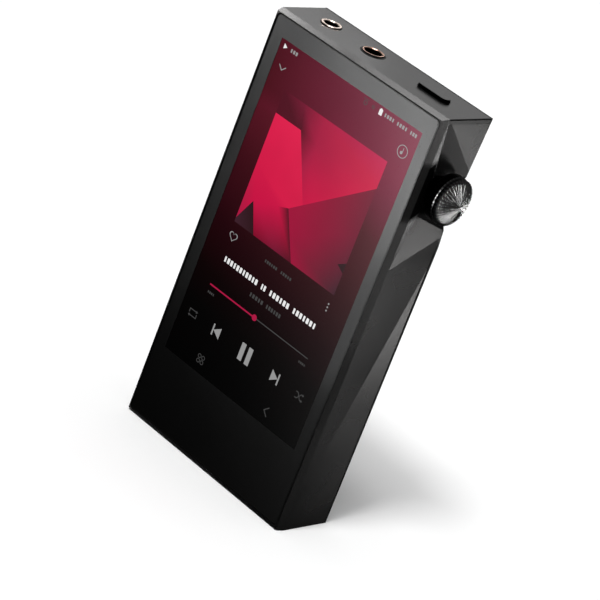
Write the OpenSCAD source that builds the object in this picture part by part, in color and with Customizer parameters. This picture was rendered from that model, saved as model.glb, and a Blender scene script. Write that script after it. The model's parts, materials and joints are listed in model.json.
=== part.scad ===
// Pocket digital audio player, standing upright on its base.
// +X is the volume knob side, -Y is the screen side, +Z is up. Millimetres.
// The origin is the centre of the bottom face.

/* [Body] */
// Width across the screen, without knob and buttons
body_w = 60.5; // [59:0.5:64]
// Height, without the power button
body_h = 118.7; // [116:0.1:124]
// Depth from glass to rear cover
body_d = 19.0; // [18.6:0.1:21]
// Thickness of the left wall
wall = 1.9; // [1.6:0.1:2.2]
// How far back the front chamfer runs
chamfer_d = 2.25; // [1.8:0.05:2.6]
// How far in the front chamfer runs
chamfer_in = 0.6; // [0.5:0.05:0.8]

/* [Glass and screen] */
// Thickness of the cover glass
glass_t = 0.8; // [0.6:0.1:1]
// From the outline of the body to the edge of the glass
glass_inset = 1.1; // [1.05:0.05:1.4]
// Corner radius of the glass
glass_r = 1.2; // [0.6:0.1:2]
// Width of the lit area
screen_w = 51.05; // [48:0.05:53]
// Height of the lit area
screen_h = 90.8; // [86:0.1:94]
// From the top of the body down to the lit area
screen_drop = 6.2; // [5:0.1:8]

/* [Side facets] */
// Depth of the upper and lower ridges at the front of the valley
ridge_in = 2.35; // [1.8:0.05:2.6]
// Distance of those ridge ends behind the front chamfer
ridge_back = 5.85; // [5:0.05:7]
// From the top of the body down to the upper ridge
upper_ridge_drop = 16.7; // [16:0.1:18]
// From the top of the body down to the front end of the lower ridge
lower_ridge_drop = 28.2; // [27.5:0.1:29]
// Fall of the lower ridge towards the rear
lower_ridge_fall = 3.75; // [2:0.05:4]
// From the top of the body down to the lower front facet corner
lower_facet_drop = 41.9; // [40:0.1:46]

/* [Volume knob] */
// Radius of the knob
knob_r = 6.58; // [6:0.02:6.8]
// How far the rim stands out from the side
knob_proud = 4.6; // [4:0.1:5.5]
// Height of the low cone on the face
knob_cone = 1.9; // [1:0.1:2.2]
// Knob axis behind the middle of the body
knob_y = 1.9; // [1.5:0.1:2.2]
// From the top of the body down to the knob axis
knob_drop = 21.2; // [21:0.1:21.4]
// Radius of the encoder shaft
shaft_r = 1.5; // [1.4:0.05:1.6]
// Running clearance round the shaft
shaft_gap = 0.05; // [0.03:0.01:0.08]

/* [Buttons] */
// Length of the power button
power_len = 10.4; // [9:0.1:11]
// Width of the power button
power_wid = 3.2; // [2.6:0.1:3.4]
// How far the power button stands out
power_proud = 0.85; // [0.4:0.05:1]
// Length of each transport button
key_len = 8.0; // [7:0.1:9]
// Width of each transport button
key_wid = 2.6; // [2.2:0.1:3]
// How far the transport buttons stand out
key_proud = 0.5; // [0.3:0.05:0.8]
// Gap round every button
button_gap = 0.12; // [0.08:0.01:0.2]

/* [Sockets] */
// Bore radius of the 3.5 mm headphone jack
jack35_r = 1.8; // [1.78:0.01:1.85]
// Bore radius of the 4.4 mm balanced jack
jack44_r = 2.25; // [2.22:0.01:2.3]
// Height that the jack rings stand above the top
ring_proud = 0.37; // [0.2:0.01:0.5]

/* [Hidden] */
$fn = 64;

// Outer planes
side_x = body_w / 2;
front_y = -body_d / 2;
back_y = body_d / 2;
shoulder_y = front_y + chamfer_d;

// Layers from front to back
glass_back = front_y + glass_t;
panel_t = 1.2;
panel_back = glass_back + panel_t;
light_back = panel_back + 1.2;
frame_t = 0.8;
frame_back = light_back + frame_t;
cover_t = 0.55;
cover_y = back_y - cover_t;
gasket_t = 0.2;
antenna_t = 0.15;
gasket_out = 1.1;
gasket_in = 0.3;
glass_gap_r = glass_r + 0.3;

// Inside walls
lip = 0.15;
pocket_in = chamfer_in + lip;
ledge_x = side_x - 2.8;
ledge_z = [3, body_h - 3.2];
frame_x = side_x - 2.35;
frame_z = [3.6, body_h - 3.6];
inner_left = -side_x + wall;
inner_right = side_x - 3.95;
step_low_z = 84;
step_high_z = 105;
boss_x = inner_right - 1.1;
boss_zs = [22, 60];
boss_half = 1.45;
boss_depth = 3;
inner_bottom = 2.5;
cap_t = 1.4;
top_wall = 2.3;
cap_under = body_h - cap_t;
inner_top = cap_under - top_wall;
cap_inset = 0.12;
cap_step = 0.35;

// Facet corners of the knob side
upper_rear_in = 0.68;
lower_rear_in = 0.80;
rear_bevel_drop = 36.5;
rear_bevel_in = 0.35;
crease_z = 2.4;
valley_in = 4.68;
valley_drop = 24.1;
valley_y = shoulder_y + ridge_back * valley_in / ridge_in;
valley_rear_in = 4.34;
valley_rear_drop = 25.1;

// Knob and encoder
knob_z = body_h - knob_drop;
rim_x = side_x + knob_proud;
skirt_x = side_x + 0.25;
hub_r = 3.9;
hub_pocket_r = 4.4;
hub_floor_x = side_x - 5.05;
encoder_wall_x = side_x - 6.25;
encoder_depth = 6.4;
encoder_size = 11;
bush_r = 2.9;
nut_t = 1.1;
hub_x = hub_floor_x + 2.1;
insert_r = 2.6;
insert_end_x = hub_x + 5.2;
shaft_end_x = hub_x + 4.7;
shaft_start_x = encoder_wall_x - 5;

// Sockets on the top
row_y = 1.05;
jack35_x = -20.34;
jack44_x = -4.85;
jack35_depth = 13.3;
jack44_depth = 17.0;
ring_seat_z = cap_under - 0.4;
mouth_step = 0.2;
ring35_r = 2.89;
ring44_r = 3.14;
socket35_r = ring35_r + 0.06;
socket44_r = ring44_r + 0.36;
block35 = 6.6;
block44 = 7.8;
power_x = 16.97;
power_travel = 0.35;

// Sockets on the bottom
port_y = 1.0;
usb_x = 11;
usb_w = 8.94;
usb_t = 3.26;
usb_depth = 7.3;
usb_wall = 0.3;
usb_sunk = 0.15;
sd_x = -12;
sd_slot_w = 12;
sd_slot_t = 1.6;

// Buttons
flange_gap = 0.05;
flange_wider = 1.2;
power_flange_t = 0.8;
key_flange_t = 0.6;
key_pitch = 11.5;
key_mid_z = 88;
key_travel = 0.3;
key_y = row_y;

// Boards and battery
board_z0 = 68;
board_z1 = 95;
board_x0 = inner_left + 2.9;
board_x1 = 16.4;
board_t = 0.8;
main_board_y = frame_back + 0.9;
audio_board_y = 3.0;
battery_z0 = 17;
battery_z1 = 66;
battery_y0 = frame_back + 0.3;
battery_y1 = battery_y0 + 6.5;
screw_r = 0.6;
corner_in = 2.2;
corner_hole_r = 0.9;
spacer_r = 1.6;

METAL = "#3a3a3b";
BLACK = "#101012";
GOLD = "#c8937a";
STEEL = "#a9acb0";
BOARD = "#123a2b";
BRASS = "#b89a58";
FLEX = "#b06a2c";

// ---------- shared shapes ----------

// Box between two corners
module slab(x, y, z) {
    translate([x[0], y[0], z[0]])
        cube([x[1] - x[0], y[1] - y[0], z[1] - z[0]]);
}

// Cylinder along +X from x0 to x1 at (y, z)
module rod_x(x0, x1, y, z, r) {
    translate([x0, y, z])
        rotate([0, 90, 0])
            cylinder(r = r, h = x1 - x0);
}

// Cylinder along +Y from y0 to y1 at (x, z)
module rod_y(y0, y1, x, z, r) {
    translate([x, y1, z])
        rotate([90, 0, 0])
            cylinder(r = r, h = y1 - y0);
}

// Stadium with its length along X, raised along +Z
module stadium(len, wid, h) {
    translate([-(len - wid) / 2, -wid / 2, 0])
        cube([len - wid, wid, h]);
    for (s = [-1, 1])
        translate([s * (len - wid) / 2, 0, 0])
            cylinder(d = wid, h = h);
}

// Upright plate with round corners, between y0 and y1
module round_plate(x, z, y0, y1, r) {
    slab([x[0] + r, x[1] - r], [y0, y1], z);
    slab(x, [y0, y1], [z[0] + r, z[1] - r]);
    for (cx = [x[0] + r, x[1] - r])
        for (cz = [z[0] + r, z[1] - r])
            rod_y(y0, y1, cx, cz, r);
}

// Extrusion along +X of an outline drawn in (y, z)
module profile_x(x0, x1, points) {
    translate([x0, 0, 0])
        rotate([90, 0, 90])
            linear_extrude(x1 - x0)
                polygon(points);
}

// Ring or tube about a vertical axis from (r, z) points
module turned_z(x, y, points) {
    translate([x, y, 0])
        rotate_extrude()
            polygon(points);
}

// ---------- body ----------

// A point carried past the rear plane along the line from a to b
function past(a, b) = a + (b - a) * 1.15;

// Everything outside the faceted knob side. Facets between ridges meet the side plane at its edges.
module side_carve() {
    top_front = [side_x, shoulder_y, body_h];
    top_rear = [side_x, back_y + 2, body_h];
    a1 = [side_x - ridge_in, shoulder_y + ridge_back, body_h - upper_ridge_drop];
    a2 = past(a1, [side_x - upper_rear_in, back_y, body_h - upper_ridge_drop]);
    v1 = [side_x - valley_in, valley_y, body_h - valley_drop];
    v2 = past(v1, [side_x - valley_rear_in, back_y, body_h - valley_rear_drop]);
    e1 = [side_x - ridge_in, shoulder_y + ridge_back, body_h - lower_ridge_drop];
    e2 = past(e1, [side_x - lower_rear_in, back_y, body_h - lower_ridge_drop - lower_ridge_fall]);
    e3 = [side_x, shoulder_y, body_h - lower_facet_drop];
    crease = [side_x, shoulder_y, crease_z];
    low_rear = [side_x, back_y + 2, 0];
    inner = [top_front, top_rear, a1, a2, v1, v2, e1, e2, e3, crease, low_rear];
    n = len(inner);
    outer = [for (p = inner) [side_x + 2, p[1], p[2]]];
    facets = [[0, 3, 1], [0, 2, 3], [2, 5, 3], [2, 4, 5], [4, 7, 5], [4, 6, 7],
        [0, 4, 2], [0, 6, 4], [0, 8, 6], [6, 8, 7], [8, 9, 7], [9, 10, 7]];
    rim = [1, 3, 5, 7, 10, 9, 8, 0];
    polyhedron(
        points = concat(inner, outer),
        faces = concat(
            facets,
            [for (f = facets) [f[2] + n, f[1] + n, f[0] + n]],
            [for (i = [0 : len(rim) - 1])
                let (a = rim[i], b = rim[(i + 1) % len(rim)])
                each [[a, b, b + n], [a, b + n, a + n]]]));
}

// Body outline with the chamfer round the front
module body_block() {
    w = side_x - chamfer_in;
    slab([-side_x, side_x], [shoulder_y, cover_y], [0, body_h]);
    hull() {
        slab([-side_x, side_x], [shoulder_y, shoulder_y + 0.01], [0, body_h]);
        slab([-w, w], [front_y, front_y + 0.01], [chamfer_in, body_h - chamfer_in]);
    }
}

// Hollow inside, in three steps round the valley of the knob, grown outwards by g
module body_hollow(y, g) {
    slab([inner_left - g, inner_right + g], y, [inner_bottom - g, step_low_z + g]);
    slab([inner_left - g, encoder_wall_x + g], y, [step_low_z - 1, step_high_z + 1]);
    slab([inner_left - g, inner_right - 0.4 + g], y, [step_high_z - g, inner_top + g]);
}

module main_housing() {
    color(METAL)
    difference() {
        body_block();
        side_carve();
        round_plate([-side_x + pocket_in, side_x - pocket_in], [pocket_in, body_h - pocket_in],
            front_y - 1, glass_back, glass_gap_r);
        slab([-ledge_x, ledge_x], [glass_back - 1, light_back], ledge_z);
        slab([-frame_x, frame_x], [light_back - 0.01, frame_back + 0.01], frame_z);
        body_hollow([frame_back, cover_y + 1], 0);
        slab([-side_x - 1, side_x + 1], [shoulder_y, cover_y + 1], [cap_under, body_h + 1]);
        rear_gasket_ring(0.5);
        rod_x(hub_floor_x, side_x + 1, knob_y, knob_z, hub_pocket_r);
        rod_x(encoder_wall_x - 1, side_x, knob_y, knob_z, bush_r + 0.05);
        top_sockets(cap_under - 3);
        bottom_sockets();
        for (i = [-1 : 1])
            key_slot(i);
    }
    color(METAL)
        difference() {
            frame_bosses();
            frame_screw_places(frame_back - 1, frame_back + 2.2, screw_r);
        }
}

// Round shape of radius r at each screw place of the midframe
module frame_screw_places(y0, y1, r) {
    for (z = boss_zs)
        for (s = [-1, 1])
            rod_y(y0, y1, s * boss_x, z, r);
}

// Blocks on the side walls that take the midframe screws
module frame_bosses() {
    y = [frame_back, frame_back + boss_depth];
    root = 0.5;
    for (bz = boss_zs) {
        z = [bz - boss_half, bz + boss_half];
        slab([inner_left - root, boss_half - boss_x], y, z);
        slab([boss_x - boss_half, inner_right + root], y, z);
    }
}

// Cut-outs for both jacks and the power button
module top_sockets(z0) {
    h = body_h - z0 + 1;
    translate([jack35_x, row_y, z0])
        cylinder(r = socket35_r, h = h);
    translate([jack44_x, row_y, z0])
        cylinder(r = socket44_r, h = h);
    translate([power_x, row_y, z0])
        stadium(power_len + 2 * button_gap, power_wid + 2 * button_gap, h);
}

// Cut-outs for the USB-C and the card sockets
module bottom_sockets() {
    translate([usb_x, port_y, -1])
        stadium(usb_w + 0.1, usb_t + 0.1, inner_bottom + 2);
    slab([sd_x - sd_slot_w / 2, sd_x + sd_slot_w / 2],
        [port_y - sd_slot_t / 2, port_y + sd_slot_t / 2], [-1, inner_bottom + 1]);
}

// Slot through the left wall for transport button i
module key_slot(i) {
    translate([-side_x - 1, key_y, key_mid_z + i * key_pitch])
        rotate([0, 90, 0])
            stadium(key_len + 2 * button_gap, key_wid + 2 * button_gap, wall + 2);
}

// Plate flush with the body and its upper facet, with a thin step along its top edges
module top_cap() {
    lean = upper_rear_in / upper_ridge_drop;
    step_z = body_h - cap_step;
    x = side_x - cap_inset;
    outline = [[-side_x, cap_under], [side_x - lean * cap_t, cap_under], [side_x - lean * cap_step, step_z],
        [x, step_z], [x, body_h], [-x, body_h], [-x, step_z], [-side_x, step_z]];
    color(METAL)
    difference() {
        translate([0, cover_y, 0])
            rotate([90, 0, 0])
                linear_extrude(cover_y - shoulder_y)
                    polygon(outline);
        top_sockets(cap_under - 1);
    }
}

module rear_cover() {
    bevel = [[side_x - rear_bevel_in, body_h - rear_bevel_drop],
        [side_x - lower_rear_in, body_h - lower_ridge_drop - lower_ridge_fall]];
    outline = [[-side_x, 0], [side_x, 0], bevel[0], bevel[1],
        [side_x - valley_rear_in, body_h - valley_rear_drop],
        [side_x - upper_rear_in, body_h - upper_ridge_drop], [side_x, body_h], [-side_x, body_h]];
    color(BLACK)
    translate([0, back_y, 0])
        rotate([90, 0, 0])
            linear_extrude(cover_t)
                polygon(outline);
}

// Gasket track round the rear opening, carried past the cover plane by extra
module rear_gasket_ring(extra) {
    y = [cover_y - gasket_t, cover_y + extra];
    difference() {
        body_hollow(y, gasket_out);
        body_hollow([y[0] - 1, y[1] + 1], gasket_in);
    }
}

module rear_gasket() {
    color(BLACK)
        rear_gasket_ring(0);
}

// ---------- screen ----------

module cover_glass() {
    x = side_x - glass_inset;
    color(BLACK)
        round_plate([-x, x], [glass_inset, body_h - glass_inset], front_y, glass_back, glass_r);
}

module glass_gasket() {
    x = side_x - pocket_in;
    g = side_x - glass_inset;
    sunk = 0.3;
    color(BLACK)
    difference() {
        round_plate([-x, x], [pocket_in, body_h - pocket_in], front_y + sunk, glass_back, glass_gap_r);
        round_plate([-g, g], [glass_inset, body_h - glass_inset], front_y, glass_back + 1, glass_r);
    }
}

// Plate behind the lit area, with its borders at the sides, the foot and the head
module screen_plate(y, side, foot, head) {
    x = screen_w / 2 + side;
    z = body_h - screen_drop;
    slab([-x, x], y, [z - screen_h - foot, z + head]);
}

module display_panel() {
    color("#2a0a12")
        screen_plate([glass_back, panel_back], 1.6, 5.5, 2.2);
}

module backlight_unit() {
    color("#d8d8d4")
        screen_plate([panel_back, light_back], 1.2, 4, 1.6);
}

// Ribbon from the foot of the display up to the main board
module display_flex() {
    t = 0.15;
    y0 = frame_back + 0.08;
    y1 = main_board_y - t;
    color(FLEX)
        profile_x(-18, -6, [[y0, 19], [y0 + t, 19], [y0 + t, 68.5], [y1 + t, 69.5], [y1 + t, 71],
            [y1, 71], [y1, 69.7], [y0, 68.7]]);
}

// The heads of the screws are sunk flush into the plate
screw_head_r = 1.1;
screw_head_t = 0.4;

module midframe() {
    color(STEEL)
    difference() {
        slab([-frame_x, frame_x], [light_back, frame_back], frame_z);
        frame_screw_places(light_back - 1, frame_back + 1, screw_r + 0.1);
        frame_screw_places(light_back - 1, light_back + screw_head_t, screw_head_r + 0.05);
    }
}

module midframe_screws() {
    color(STEEL) {
        frame_screw_places(light_back, light_back + screw_head_t, screw_head_r);
        frame_screw_places(light_back + 0.3, frame_back + 1.9, screw_r);
    }
}

// Moulded tray behind the chin of the glass, open to the rear
module chin_carrier() {
    rim = 1.6;
    x = [-24, 24];
    z = [4.4, 14.8];
    color(BLACK)
    difference() {
        slab(x, [glass_back + antenna_t, light_back], z);
        slab([x[0] + rim, x[1] - rim], [glass_back + 1, light_back + 1], [z[0] + rim, z[1] - rim]);
    }
}

module wifi_antenna() {
    color(FLEX)
        slab([-20, 20], [glass_back, glass_back + antenna_t], [5.4, 12.4]);
}

// ---------- boards and battery ----------

// Places of the four holes that both boards share
module board_corners() {
    for (px = [board_x0 + corner_in, board_x1 - corner_in])
        for (pz = [board_z0 + corner_in, board_z1 - corner_in])
            translate([px, 0, pz])
                children();
}

// Circuit board with its front face at y0
module board(y0) {
    color(BOARD)
    difference() {
        slab([board_x0, board_x1], [y0, y0 + board_t], [board_z0, board_z1]);
        board_corners()
            rod_y(y0 - 1, y0 + board_t + 1, 0, 0, corner_hole_r);
    }
}

module main_board() {
    board(main_board_y);
}

module audio_board() {
    board(audio_board_y);
}

// Open-backed can of thin sheet on a board, closed side at y1
module shield_can(x, y0, y1, z) {
    t = 0.2;
    color(STEEL)
    difference() {
        slab(x, [y0, y1], z);
        slab([x[0] + t, x[1] - t], [y0 - 1, y1 - t], [z[0] + t, z[1] - t]);
    }
}

module processor_shield() {
    y0 = main_board_y + board_t;
    shield_can([-18, 2], y0, y0 + 1.8, [74, 90]);
}

module memory_chips() {
    y0 = main_board_y + board_t;
    color(BLACK)
    for (z = [74, 82.5])
        slab([4.2, 12.2], [y0, y0 + 1.0], [z, z + 6.5]);
}

module dac_chips() {
    y0 = audio_board_y + board_t;
    color(BLACK)
    for (x = [-17.5, -6.5])
        slab([x, x + 7], [y0, y0 + 1.1], [83, 90]);
}

module amplifier_shield() {
    y0 = audio_board_y + board_t;
    shield_can([-18, 12], y0, y0 + 2.0, [70.5, 80.5]);
}

module board_spacers() {
    color(BRASS)
    board_corners()
        difference() {
            rod_y(main_board_y + board_t, audio_board_y, 0, 0, spacer_r);
            rod_y(main_board_y, audio_board_y + 1, 0, 0, corner_hole_r);
        }
}

module board_screws() {
    y1 = audio_board_y + board_t;
    color(STEEL)
    board_corners() {
        rod_y(y1, y1 + 0.7, 0, 0, 1.5);
        rod_y(frame_back, y1, 0, 0, corner_hole_r - 0.1);
    }
}

// Pouch cell with half-round sides
module battery_pack() {
    x = boss_x - 2;
    t = battery_y1 - battery_y0;
    color("#2b2d33")
    translate([0, (battery_y0 + battery_y1) / 2, battery_z0])
        stadium(2 * x, t, battery_z1 - battery_z0);
}

// Ribbon from the top of the battery up to the main board
module battery_flex() {
    t = 0.2;
    y0 = main_board_y + board_t;
    color(FLEX)
        profile_x(4, 10, [[y0, battery_z1], [y0 + t, battery_z1], [y0 + t, 70], [y0, 70]]);
}

module port_board() {
    y0 = port_y + usb_t / 2;
    color(BOARD)
        slab([inner_left + 2.4, inner_right - 2.6], [y0, y0 + board_t], [inner_bottom + 0.4, 15.4]);
}

// Shell of the USB-C socket, closed at the top
module usb_c_shell() {
    color(STEEL)
    translate([usb_x, port_y, usb_sunk])
        difference() {
            stadium(usb_w, usb_t, usb_depth);
            translate([0, 0, -1])
                stadium(usb_w - 2 * usb_wall, usb_t - 2 * usb_wall, usb_depth + 0.4);
        }
}

// Contact tongue on a block that fills the end of the shell
module usb_c_tongue() {
    block_z = usb_depth - 1.2;
    gap = usb_wall + 0.02;
    color(BLACK)
    translate([usb_x, port_y, usb_sunk]) {
        slab([-3.35, 3.35], [-0.35, 0.35], [0.8, block_z]);
        translate([0, 0, block_z])
            stadium(usb_w - 2 * gap, usb_t - 2 * gap, 0.6);
    }
}

// Card socket, 15 mm deep from the base, with a cavity for an 11 mm wide card
module microsd_socket() {
    x = sd_slot_w / 2 + 0.6;
    card_x = 5.6;
    card_y = 0.45;
    color(STEEL)
    difference() {
        slab([sd_x - x, sd_x + x], [port_y - 0.95, port_y + usb_t / 2], [inner_bottom + 0.05, 15.2]);
        slab([sd_x - card_x, sd_x + card_x], [port_y - card_y, port_y + card_y], [0, 14.4]);
    }
}

// ---------- jacks ----------

// Plated ring round a jack mouth: bore, lead-in chamfer and broken outer edge
module jack_ring(x, r_in, r_out) {
    top = body_h + ring_proud;
    lead = 0.22;
    edge = 0.18;
    color(GOLD)
        turned_z(x, row_y, [[r_in, ring_seat_z], [r_out, ring_seat_z], [r_out, top - edge],
            [r_out - edge, top], [r_in + lead, top], [r_in, top - lead]]);
}

// Moulded block with its round barrel and one blind bore
module jack_body(x, bore_r, depth, size, barrel_r) {
    z0 = ring_seat_z - depth - 1;
    color(BLACK)
    difference() {
        union() {
            slab([x - size / 2, x + size / 2], [row_y - size / 2, row_y + size / 2],
                [z0, inner_top - 0.05]);
            translate([x, row_y, inner_top - 0.1])
                cylinder(r = barrel_r, h = ring_seat_z - inner_top + 0.1);
        }
        translate([x, row_y, ring_seat_z - depth])
            cylinder(r = bore_r, h = depth + 1);
    }
}

// Column of count leaf contacts on the rear of a jack block, each with a solder tail
module jack_contacts(x, size, count, pitch) {
    leaf = 0.9;
    leaf_t = 0.2;
    tail = 0.4;
    top_z = inner_top - 2;
    y = row_y + size / 2;
    color(GOLD)
    for (i = [0 : count - 1]) {
        z = top_z - i * pitch;
        slab([x - leaf, x + leaf], [y, y + leaf_t], [z - leaf, z + leaf]);
        slab([x - tail, x + tail], [y + leaf_t, y + leaf_t + 0.6], [z - leaf, z - leaf + 0.2]);
    }
}

module jack_35_ring() {
    jack_ring(jack35_x, jack35_r + mouth_step, ring35_r);
}

module jack_35_body() {
    jack_body(jack35_x, jack35_r, jack35_depth, block35, ring35_r - 0.04);
}

module jack_35_contacts() {
    jack_contacts(jack35_x, block35, 4, 2.8);
}

module jack_44_ring() {
    jack_ring(jack44_x, jack44_r + mouth_step, ring44_r);
}

// Black seat in the gap between the larger ring and the cap
module jack_44_seat() {
    r = [ring44_r + 0.02, socket44_r - 0.06];
    z = [ring_seat_z, body_h + 0.1];
    color(BLACK)
        turned_z(jack44_x, row_y, [[r[0], z[0]], [r[1], z[0]], [r[1], z[1]], [r[0], z[1]]]);
}

module jack_44_body() {
    jack_body(jack44_x, jack44_r, jack44_depth, block44, ring44_r + 0.16);
}

module jack_44_contacts() {
    jack_contacts(jack44_x, block44, 5, 3);
}

// ---------- volume knob ----------

module encoder_body() {
    h = encoder_size / 2;
    color(STEEL)
    difference() {
        union() {
            slab([encoder_wall_x - encoder_depth, encoder_wall_x], [knob_y - h, knob_y + h],
                [knob_z - h, knob_z + h]);
            rod_x(encoder_wall_x - 1, hub_floor_x + nut_t + 0.5, knob_y, knob_z, bush_r);
        }
        rod_x(shaft_start_x - 0.3, side_x, knob_y, knob_z, shaft_r + shaft_gap);
    }
}

module encoder_nut() {
    color(STEEL)
    translate([hub_floor_x, knob_y, knob_z])
        rotate([0, 90, 0])
            difference() {
                cylinder(r = 4.15, h = nut_t, $fn = 6);
                translate([0, 0, -1])
                    cylinder(r = bush_r, h = nut_t + 2);
            }
}

module encoder_shaft() {
    color(STEEL)
        rod_x(shaft_start_x, shaft_end_x, knob_y, knob_z, shaft_r);
}

module knob_insert() {
    color(BRASS)
    difference() {
        rod_x(hub_x, insert_end_x, knob_y, knob_z, insert_r);
        rod_x(hub_x - 1, shaft_end_x, knob_y, knob_z, shaft_r);
    }
}

// Hub, skirt, polished chamfer and low cone, turned about +X
module volume_knob() {
    color(METAL)
    translate([0, knob_y, knob_z])
        rotate([0, 90, 0])
            rotate_extrude()
                polygon([[0, insert_end_x], [insert_r, insert_end_x], [insert_r, hub_x], [hub_r, hub_x],
                    [hub_r, skirt_x], [knob_r - 0.3, skirt_x], [knob_r, skirt_x + 0.3],
                    [knob_r, rim_x - 0.3], [knob_r - 0.3, rim_x], [0, rim_x + knob_cone]]);
}

// ---------- buttons ----------

// Stadium key raised from z = 0 to its crown at z = h, on a wider retaining flange below z = 0
module button(len, wid, h, flange_t) {
    crown = 0.15;
    translate([0, 0, -flange_t])
        stadium(len + flange_wider, wid + flange_wider, flange_t);
    stadium(len, wid, h - crown);
    translate([0, 0, h - crown])
        stadium(len - 2 * crown, wid - 2 * crown, crown);
}

module power_button() {
    base_z = inner_top - flange_gap;
    color(METAL)
    translate([power_x, row_y, base_z])
        button(power_len, power_wid, body_h + power_proud - base_z, power_flange_t);
}

// Tact switch under the power button, on its bracket
module power_switch() {
    top_z = inner_top - flange_gap - power_flange_t - power_travel - 0.05;
    plunger_h = 0.3;
    plate_z = top_z - 1.6;
    color(STEEL)
    translate([power_x, row_y, 0]) {
        slab([-2.6, 2.6], [-1.5, 1.5], [plate_z, top_z - plunger_h]);
        translate([0, 0, top_z - plunger_h])
            cylinder(r = 0.9, h = plunger_h);
        slab([-5.5, 5.5], [-2, 2], [plate_z - 0.4, plate_z]);
    }
}

// Transport button i, pressed along +X
module transport_key(i) {
    base_x = inner_left + flange_gap;
    color(METAL)
    translate([base_x, key_y, key_mid_z + i * key_pitch])
        rotate([0, -90, 0])
            button(key_len, key_wid, side_x + key_proud + base_x, key_flange_t);
}

module previous_button() {
    transport_key(-1);
}

module play_button() {
    transport_key(0);
}

module next_button() {
    transport_key(1);
}

// Flexible strip with one dome switch behind each transport button
module side_switch_strip() {
    dome_x = inner_left + flange_gap + key_flange_t + key_travel + 0.05;
    strip_x = dome_x + 0.4;
    half_y = 1.8;
    half_z = key_pitch + 5;
    color(FLEX)
        slab([strip_x, strip_x + 0.4], [key_y - half_y, key_y + half_y],
            [key_mid_z - half_z, key_mid_z + half_z]);
    color(STEEL)
    for (i = [-1 : 1])
        rod_x(dome_x, strip_x, key_y, key_mid_z + i * key_pitch, 1.6);
}

main_housing();
top_cap();
rear_cover();
rear_gasket();
cover_glass();
glass_gasket();
display_panel();
backlight_unit();
display_flex();
midframe();
midframe_screws();
chin_carrier();
wifi_antenna();
main_board();
processor_shield();
memory_chips();
audio_board();
dac_chips();
amplifier_shield();
board_spacers();
board_screws();
battery_pack();
battery_flex();
port_board();
usb_c_shell();
usb_c_tongue();
microsd_socket();
jack_35_ring();
jack_35_body();
jack_35_contacts();
jack_44_ring();
jack_44_seat();
jack_44_body();
jack_44_contacts();
encoder_body();
encoder_nut();
encoder_shaft();
knob_insert();
volume_knob();
power_button();
power_switch();
previous_button();
play_button();
next_button();
side_switch_strip();
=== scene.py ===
"""Looks of a digital audio player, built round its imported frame. Lengths are millimetres times MM."""
import json
from math import cos, pi, radians, sin

import bpy
from mathutils import Matrix, Vector
from mathutils.geometry import tessellate_polygon


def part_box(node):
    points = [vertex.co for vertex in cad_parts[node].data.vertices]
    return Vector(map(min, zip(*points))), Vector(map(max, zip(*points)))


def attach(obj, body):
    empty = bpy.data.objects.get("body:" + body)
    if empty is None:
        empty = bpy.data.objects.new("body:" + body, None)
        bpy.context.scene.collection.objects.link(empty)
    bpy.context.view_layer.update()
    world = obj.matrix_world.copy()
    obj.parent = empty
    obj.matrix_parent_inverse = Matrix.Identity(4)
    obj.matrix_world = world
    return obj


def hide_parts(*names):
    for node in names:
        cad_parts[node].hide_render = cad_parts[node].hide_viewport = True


MM = 0.001
MILLI = 0.001
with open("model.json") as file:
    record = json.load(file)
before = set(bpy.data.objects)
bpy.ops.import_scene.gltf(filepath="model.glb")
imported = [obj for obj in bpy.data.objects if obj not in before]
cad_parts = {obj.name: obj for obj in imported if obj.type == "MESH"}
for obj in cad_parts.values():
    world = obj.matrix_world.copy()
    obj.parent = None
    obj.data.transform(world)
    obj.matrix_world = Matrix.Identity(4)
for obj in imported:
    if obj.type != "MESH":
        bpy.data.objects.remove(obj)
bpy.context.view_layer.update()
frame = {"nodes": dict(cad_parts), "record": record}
scene = bpy.context.scene


# ---------- places taken from the frame, in millimetres ----------

def box_mm(node):
    """Lowest and highest corner of a CAD node in millimetres."""
    low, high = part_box(node)
    return low / MM, high / MM


case_high = box_mm("main_housing")[1]
glass_low, glass_high = box_mm("cover_glass")
panel_low, panel_high = box_mm("display_panel")
knob_low, knob_high = box_mm("volume_knob")
knob_y = (knob_low.y + knob_high.y) / 2
knob_z = (knob_low.z + knob_high.z) / 2
knob_r = (knob_high.y - knob_low.y) / 2

# The lit area lies inside the display panel's borders
SIDE_BORDER = 1.6
HEAD_BORDER = 2.2
FOOT_BORDER = 5.5
lit_x = panel_high.x - SIDE_BORDER
lit_top = panel_high.z - HEAD_BORDER
lit_foot = panel_low.z + FOOT_BORDER
lit_mid = (lit_top + lit_foot) / 2

# Layers behind the glass, front to back
PANE_T = 0.35
LAYER_T = 0.04
BOND_T = 0.01
pane_back = glass_low.y + PANE_T
ink_y = pane_back + BOND_T
icon_y = ink_y
art_y = icon_y + 2 * LAYER_T
backdrop_y = art_y + 2 * LAYER_T


# ---------- node helpers ----------

# Width in millimetres of the patches over which roughness drifts
PATCH_CELL = 14


def add(tree, kind, values=None, **settings):
    """New shader node with its settings, its input values and its input links."""
    node = tree.nodes.new("ShaderNode" + kind)
    for key, value in settings.items():
        setattr(node, key, value)
    for key, value in (values or {}).items():
        if isinstance(value, bpy.types.NodeSocket):
            tree.links.new(value, node.inputs[key])
        else:
            node.inputs[key].default_value = value
    return node


def calc(tree, operation, *values):
    """Result of a math node."""
    return add(tree, "Math", dict(enumerate(values)), operation=operation).outputs["Value"]


def product(tree, first, *others):
    """All the values multiplied together."""
    for other in others:
        first = calc(tree, "MULTIPLY", first, other)
    return first


def new_material(name):
    """Empty node material and its tree."""
    material = bpy.data.materials.new(name)
    material.use_nodes = True
    material.node_tree.nodes.clear()
    return material, material.node_tree


def finish_material(tree, shader):
    """Sends a shader to the material's output."""
    add(tree, "OutputMaterial", {"Surface": shader})


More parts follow.
